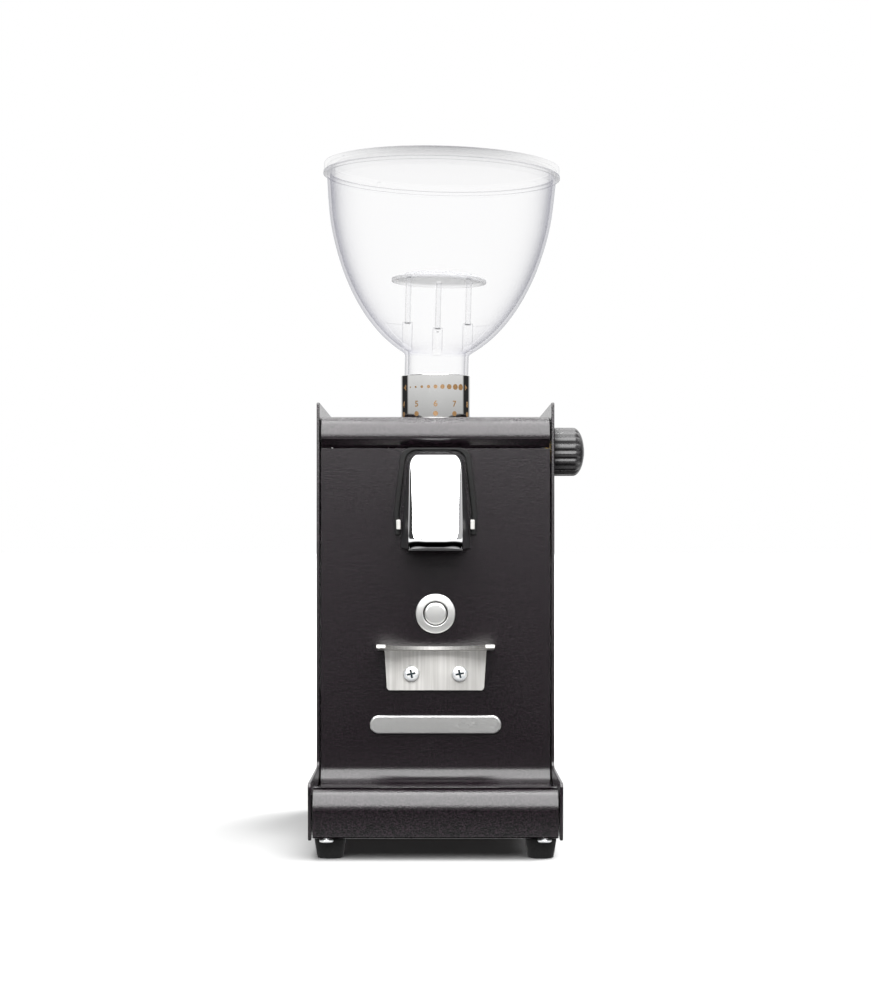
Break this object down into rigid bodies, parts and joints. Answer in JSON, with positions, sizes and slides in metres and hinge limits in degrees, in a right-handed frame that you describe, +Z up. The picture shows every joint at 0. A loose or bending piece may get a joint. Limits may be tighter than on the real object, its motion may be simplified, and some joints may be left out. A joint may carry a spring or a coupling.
{
  "type": "burr coffee grinder",
  "caption": "Compact upright burr coffee grinder with boot-shaped side plates, bent front panel and tray, chute, push button, portafilter fork, numbered collar and clear hopper",
  "frame": {"origin": "centre of the bounding box's footprint, on the surface the feet stand on", "axes": "+Z up, front with the chute towards -Y, adjusting knob towards +X"},
  "size_m": [0.1486, 0.2498, 0.3837],
  "materials": {
    "powder_coat": "fine textured black powder coat",
    "brushed_steel": "brushed",
    "zinc": "zinc plated",
    "chrome": "polished",
    "black_plastic": "satin moulded",
    "gloss_black": "glossy moulded",
    "rubber": "matt",
    "clear_plastic": "clear moulded",
    "frosted_plastic": "frosted moulded",
    "cast_aluminium": "cast and machined",
    "tool_steel": "ground",
    "brass": "machined",
    "copper": "enamelled wire",
    "pale_plastic": "moulded"
  },
  "bodies": {
    "casing": {"left_side_panel": "powder_coat", "right_side_panel": "powder_coat", "front_panel": "powder_coat", "top_cover": "powder_coat", "rear_panel": "powder_coat", "base_plate": "powder_coat", "cord_gland": "black_plastic", "gland_nut": "black_plastic", "foot_front_left": "rubber", "foot_front_right": "rubber", "foot_rear_left": "rubber", "foot_rear_right": "rubber", "base_screw_front_left": "zinc", "base_screw_front_right": "zinc", "base_screw_rear_left": "zinc", "base_screw_rear_right": "zinc", "chute_body": "black_plastic", "chute_cover": "chrome", "chute_surround": "black_plastic", "chute_clip_left": "brushed_steel", "chute_clip_right": "brushed_steel", "portafilter_fork": "brushed_steel", "fork_screw_left": "zinc", "fork_screw_right": "zinc", "badge": "chrome", "switch_bezel": "chrome", "switch_nut": "zinc", "switch_body": "black_plastic", "grinding_chamber": "cast_aluminium", "worm_bracket": "brushed_steel", "shaft_bush": "brass", "motor_bracket": "brushed_steel", "motor_housing": "brushed_steel", "upper_end_bell": "cast_aluminium", "lower_end_bell": "cast_aluminium", "upper_bearing": "tool_steel", "lower_bearing": "tool_steel", "stator": "tool_steel", "upper_winding": "copper", "lower_winding": "copper", "run_capacitor": "pale_plastic", "terminal_block": "pale_plastic"},
    "rotor_assembly": {"rotor": "tool_steel", "motor_shaft": "tool_steel", "cooling_fan": "black_plastic", "lower_burr_carrier": "cast_aluminium", "lower_burr": "tool_steel", "burr_nut": "zinc"},
    "worm_drive": {"worm": "brass", "worm_shaft": "tool_steel", "adjusting_knob": "black_plastic"},
    "collar": {"adjusting_ring": "gloss_black"},
    "burr_carrier": {"upper_burr_carrier": "brass", "upper_burr": "tool_steel"},
    "hopper_bowl": {"hopper": "clear_plastic"},
    "guard": {"bean_guard": "frosted_plastic"},
    "lid": {"hopper_lid": "clear_plastic"},
    "button": {"push_button": "brushed_steel"}
  },
  "joints": [
    {"name": "rotor_spin", "type": "hinge", "parent": "casing", "child": "rotor_assembly", "pos_m": [-0.00935, 0.038, 0.11], "axis": [0, 0, 1], "continuous": true},
    {"name": "knob_turn", "type": "hinge", "parent": "casing", "child": "worm_drive", "pos_m": [-0.00935, 0.002, 0.2135], "axis": [1, 0, 0], "range_deg": [-6040, 6040]},
    {"name": "collar_turn", "type": "hinge", "parent": "casing", "child": "collar", "pos_m": [-0.00935, 0.038, 0.2135], "axis": [0, 0, 1], "range_deg": [-151, 151]},
    {"name": "burr_carrier_screw", "type": "slide", "parent": "casing", "child": "burr_carrier", "axis": [0, 0, 1], "range_m": [-0.00063, 0.00063]},
    {"name": "hopper_lift", "type": "slide", "parent": "burr_carrier", "child": "hopper_bowl", "axis": [0.0262, 0, 0.9997], "range_m": [0, 0.06]},
    {"name": "guard_lift", "type": "slide", "parent": "hopper_bowl", "child": "guard", "axis": [0.0262, 0, 0.9997], "range_m": [0, 0.045]},
    {"name": "lid_lift", "type": "slide", "parent": "hopper_bowl", "child": "lid", "axis": [0.0262, 0, 0.9997], "range_m": [0, 0.05]},
    {"name": "button_press", "type": "slide", "parent": "casing", "child": "button", "axis": [0, 1, 0], "range_m": [0, 0.003], "stiffness_N_per_m": 300, "springref_m": -0.002}
  ],
  "couplings": [
    {"joint": "knob_turn", "follows": "burr_carrier_screw", "rad_per_m": 167550},
    {"joint": "collar_turn", "follows": "burr_carrier_screw", "rad_per_m": -4188.8}
  ]
}
